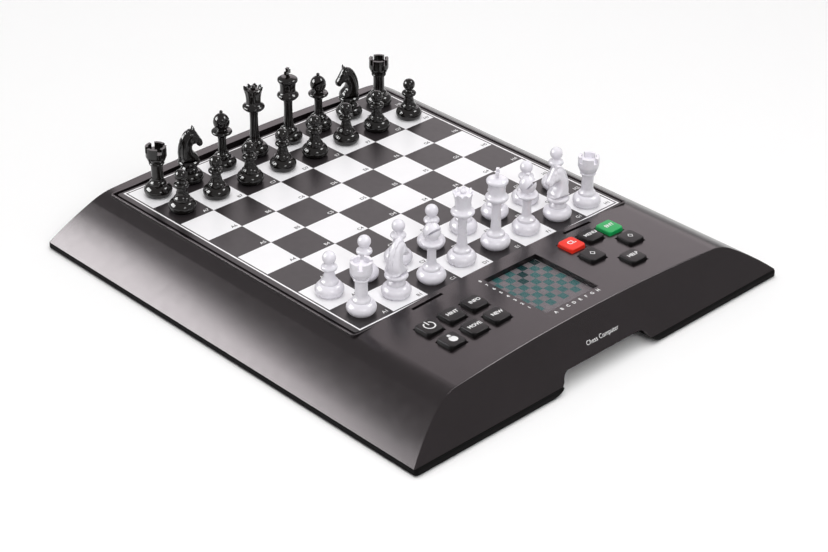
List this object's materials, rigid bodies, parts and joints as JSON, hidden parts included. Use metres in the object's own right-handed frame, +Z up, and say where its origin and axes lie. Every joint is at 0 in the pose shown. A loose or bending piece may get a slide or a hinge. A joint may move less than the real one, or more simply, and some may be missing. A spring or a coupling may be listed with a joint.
{
  "type": "electronic chess computer",
  "caption": "Low wedge-sided case with a pressure-sensitive chessboard, display window, function keys, hand recess in the front edge and lift-off chessmen.",
  "frame": {"origin": "centre of the case's footprint, on the table under the rubber feet", "axes": "+X to the player's right, +Y away from the player towards the back of the board, +Z up"},
  "size_m": [0.282, 0.306, 0.0768],
  "materials": {
    "anthracite_shell": "satin, finely grained",
    "black_base": "matte",
    "board": "printed light and dark squares under a satin film",
    "film": "polyester film",
    "clear_window": "clear",
    "display": "liquid crystal display",
    "circuit": "solder resist",
    "silicone": "moulded",
    "speaker": "matte",
    "cell": "wrapped cell",
    "contact": "nickel plated",
    "screw": "zinc plated",
    "foot": "matte",
    "dark_key": "satin",
    "red_key": "satin",
    "green_key": "satin",
    "white_men": "satin",
    "black_men": "glossy"
  },
  "bodies": {
    "case": {"batteries": "cell", "battery_contacts": "contact", "board_panel": "board", "display_module": "display", "display_window": "clear_window", "key_mat": "silicone", "lower_case": "black_base", "main_circuit_board": "circuit", "rubber_feet": "foot", "screws": "screw", "sensor_membrane": "film", "speaker": "speaker", "upper_case": "anthracite_shell"},
    "key_cancel": {"key_cancel": "red_key"},
    "key_cursor_left": {"key_cursor_left": "dark_key"},
    "key_cursor_right": {"key_cursor_right": "dark_key"},
    "key_enter": {"key_enter": "green_key"},
    "key_help": {"key_help": "dark_key"},
    "key_hint": {"key_hint": "dark_key"},
    "key_info": {"key_info": "dark_key"},
    "key_menu": {"key_menu": "dark_key"},
    "key_move": {"key_move": "dark_key"},
    "key_new_game": {"key_new_game": "dark_key"},
    "key_piece_values": {"key_piece_values": "dark_key"},
    "key_power": {"key_power": "dark_key"},
    "black_bishop_c8": {"black_bishop_c8": "black_men"},
    "black_bishop_f8": {"black_bishop_f8": "black_men"},
    "black_king_e8": {"black_king_e8": "black_men"},
    "black_knight_b8": {"black_knight_b8": "black_men"},
    "black_knight_g8": {"black_knight_g8": "black_men"},
    "black_pawn_a7": {"black_pawn_a7": "black_men"},
    "black_pawn_b7": {"black_pawn_b7": "black_men"},
    "black_pawn_c7": {"black_pawn_c7": "black_men"},
    "black_pawn_d7": {"black_pawn_d7": "black_men"},
    "black_pawn_e7": {"black_pawn_e7": "black_men"},
    "black_pawn_f7": {"black_pawn_f7": "black_men"},
    "black_pawn_g7": {"black_pawn_g7": "black_men"},
    "black_pawn_h7": {"black_pawn_h7": "black_men"},
    "black_queen_d8": {"black_queen_d8": "black_men"},
    "black_rook_a8": {"black_rook_a8": "black_men"},
    "black_rook_h8": {"black_rook_h8": "black_men"},
    "white_bishop_c1": {"white_bishop_c1": "white_men"},
    "white_bishop_f1": {"white_bishop_f1": "white_men"},
    "white_king_e1": {"white_king_e1": "white_men"},
    "white_knight_b1": {"white_knight_b1": "white_men"},
    "white_knight_g1": {"white_knight_g1": "white_men"},
    "white_pawn_a2": {"white_pawn_a2": "white_men"},
    "white_pawn_b2": {"white_pawn_b2": "white_men"},
    "white_pawn_c2": {"white_pawn_c2": "white_men"},
    "white_pawn_d2": {"white_pawn_d2": "white_men"},
    "white_pawn_e2": {"white_pawn_e2": "white_men"},
    "white_pawn_f2": {"white_pawn_f2": "white_men"},
    "white_pawn_g2": {"white_pawn_g2": "white_men"},
    "white_pawn_h2": {"white_pawn_h2": "white_men"},
    "white_queen_d1": {"white_queen_d1": "white_men"},
    "white_rook_a1": {"white_rook_a1": "white_men"},
    "white_rook_h1": {"white_rook_h1": "white_men"},
    "battery_door": {"battery_door": "black_base"}
  },
  "joints": [
    {"name": "press_cancel", "type": "slide", "parent": "case", "child": "key_cancel", "axis": [0, 0, -1], "range_m": [0, 0.001], "stiffness_N_per_m": 900, "springref_m": -0.0003},
    {"name": "press_cursor_left", "type": "slide", "parent": "case", "child": "key_cursor_left", "axis": [0, 0, -1], "range_m": [0, 0.001], "stiffness_N_per_m": 900, "springref_m": -0.0003},
    {"name": "press_cursor_right", "type": "slide", "parent": "case", "child": "key_cursor_right", "axis": [0, 0, -1], "range_m": [0, 0.001], "stiffness_N_per_m": 900, "springref_m": -0.0003},
    {"name": "press_enter", "type": "slide", "parent": "case", "child": "key_enter", "axis": [0, 0, -1], "range_m": [0, 0.001], "stiffness_N_per_m": 900, "springref_m": -0.0003},
    {"name": "press_help", "type": "slide", "parent": "case", "child": "key_help", "axis": [0, 0, -1], "range_m": [0, 0.001], "stiffness_N_per_m": 900, "springref_m": -0.0003},
    {"name": "press_hint", "type": "slide", "parent": "case", "child": "key_hint", "axis": [0, 0, -1], "range_m": [0, 0.001], "stiffness_N_per_m": 900, "springref_m": -0.0003},
    {"name": "press_info", "type": "slide", "parent": "case", "child": "key_info", "axis": [0, 0, -1], "range_m": [0, 0.001], "stiffness_N_per_m": 900, "springref_m": -0.0003},
    {"name": "press_menu", "type": "slide", "parent": "case", "child": "key_menu", "axis": [0, 0, -1], "range_m": [0, 0.001], "stiffness_N_per_m": 900, "springref_m": -0.0003},
    {"name": "press_move", "type": "slide", "parent": "case", "child": "key_move", "axis": [0, 0, -1], "range_m": [0, 0.001], "stiffness_N_per_m": 900, "springref_m": -0.0003},
    {"name": "press_new_game", "type": "slide", "parent": "case", "child": "key_new_game", "axis": [0, 0, -1], "range_m": [0, 0.001], "stiffness_N_per_m": 900, "springref_m": -0.0003},
    {"name": "press_piece_values", "type": "slide", "parent": "case", "child": "key_piece_values", "axis": [0, 0, -1], "range_m": [0, 0.001], "stiffness_N_per_m": 900, "springref_m": -0.0003},
    {"name": "press_power", "type": "slide", "parent": "case", "child": "key_power", "axis": [0, 0, -1], "range_m": [0, 0.001], "stiffness_N_per_m": 900, "springref_m": -0.0003},
    {"name": "lift_black_bishop_c8", "type": "slide", "parent": "case", "child": "black_bishop_c8", "axis": [0, 0, 1], "range_m": [0, 0.06]},
    {"name": "lift_black_bishop_f8", "type": "slide", "parent": "case", "child": "black_bishop_f8", "axis": [0, 0, 1], "range_m": [0, 0.06]},
    {"name": "lift_black_king_e8", "type": "slide", "parent": "case", "child": "black_king_e8", "axis": [0, 0, 1], "range_m": [0, 0.06]},
    {"name": "lift_black_knight_b8", "type": "slide", "parent": "case", "child": "black_knight_b8", "axis": [0, 0, 1], "range_m": [0, 0.06]},
    {"name": "lift_black_knight_g8", "type": "slide", "parent": "case", "child": "black_knight_g8", "axis": [0, 0, 1], "range_m": [0, 0.06]},
    {"name": "lift_black_pawn_a7", "type": "slide", "parent": "case", "child": "black_pawn_a7", "axis": [0, 0, 1], "range_m": [0, 0.06]},
    {"name": "lift_black_pawn_b7", "type": "slide", "parent": "case", "child": "black_pawn_b7", "axis": [0, 0, 1], "range_m": [0, 0.06]},
    {"name": "lift_black_pawn_c7", "type": "slide", "parent": "case", "child": "black_pawn_c7", "axis": [0, 0, 1], "range_m": [0, 0.06]},
    {"name": "lift_black_pawn_d7", "type": "slide", "parent": "case", "child": "black_pawn_d7", "axis": [0, 0, 1], "range_m": [0, 0.06]},
    {"name": "lift_black_pawn_e7", "type": "slide", "parent": "case", "child": "black_pawn_e7", "axis": [0, 0, 1], "range_m": [0, 0.06]},
    {"name": "lift_black_pawn_f7", "type": "slide", "parent": "case", "child": "black_pawn_f7", "axis": [0, 0, 1], "range_m": [0, 0.06]},
    {"name": "lift_black_pawn_g7", "type": "slide", "parent": "case", "child": "black_pawn_g7", "axis": [0, 0, 1], "range_m": [0, 0.06]},
    {"name": "lift_black_pawn_h7", "type": "slide", "parent": "case", "child": "black_pawn_h7", "axis": [0, 0, 1], "range_m": [0, 0.06]},
    {"name": "lift_black_queen_d8", "type": "slide", "parent": "case", "child": "black_queen_d8", "axis": [0, 0, 1], "range_m": [0, 0.06]},
    {"name": "lift_black_rook_a8", "type": "slide", "parent": "case", "child": "black_rook_a8", "axis": [0, 0, 1], "range_m": [0, 0.06]},
    {"name": "lift_black_rook_h8", "type": "slide", "parent": "case", "child": "black_rook_h8", "axis": [0, 0, 1], "range_m": [0, 0.06]},
    {"name": "lift_white_bishop_c1", "type": "slide", "parent": "case", "child": "white_bishop_c1", "axis": [0, 0, 1], "range_m": [0, 0.06]},
    {"name": "lift_white_bishop_f1", "type": "slide", "parent": "case", "child": "white_bishop_f1", "axis": [0, 0, 1], "range_m": [0, 0.06]},
    {"name": "lift_white_king_e1", "type": "slide", "parent": "case", "child": "white_king_e1", "axis": [0, 0, 1], "range_m": [0, 0.06]},
    {"name": "lift_white_knight_b1", "type": "slide", "parent": "case", "child": "white_knight_b1", "axis": [0, 0, 1], "range_m": [0, 0.06]},
    {"name": "lift_white_knight_g1", "type": "slide", "parent": "case", "child": "white_knight_g1", "axis": [0, 0, 1], "range_m": [0, 0.06]},
    {"name": "lift_white_pawn_a2", "type": "slide", "parent": "case", "child": "white_pawn_a2", "axis": [0, 0, 1], "range_m": [0, 0.06]},
    {"name": "lift_white_pawn_b2", "type": "slide", "parent": "case", "child": "white_pawn_b2", "axis": [0, 0, 1], "range_m": [0, 0.06]},
    {"name": "lift_white_pawn_c2", "type": "slide", "parent": "case", "child": "white_pawn_c2", "axis": [0, 0, 1], "range_m": [0, 0.06]},
    {"name": "lift_white_pawn_d2", "type": "slide", "parent": "case", "child": "white_pawn_d2", "axis": [0, 0, 1], "range_m": [0, 0.06]},
    {"name": "lift_white_pawn_e2", "type": "slide", "parent": "case", "child": "white_pawn_e2", "axis": [0, 0, 1], "range_m": [0, 0.06]},
    {"name": "lift_white_pawn_f2", "type": "slide", "parent": "case", "child": "white_pawn_f2", "axis": [0, 0, 1], "range_m": [0, 0.06]},
    {"name": "lift_white_pawn_g2", "type": "slide", "parent": "case", "child": "white_pawn_g2", "axis": [0, 0, 1], "range_m": [0, 0.06]},
    {"name": "lift_white_pawn_h2", "type": "slide", "parent": "case", "child": "white_pawn_h2", "axis": [0, 0, 1], "range_m": [0, 0.06]},
    {"name": "lift_white_queen_d1", "type": "slide", "parent": "case", "child": "white_queen_d1", "axis": [0, 0, 1], "range_m": [0, 0.06]},
    {"name": "lift_white_rook_a1", "type": "slide", "parent": "case", "child": "white_rook_a1", "axis": [0, 0, 1], "range_m": [0, 0.06]},
    {"name": "lift_white_rook_h1", "type": "slide", "parent": "case", "child": "white_rook_h1", "axis": [0, 0, 1], "range_m": [0, 0.06]},
    {"name": "take_off_battery_door", "type": "slide", "parent": "case", "child": "battery_door", "axis": [0, 0, -1], "range_m": [0, 0.02]}
  ]
}
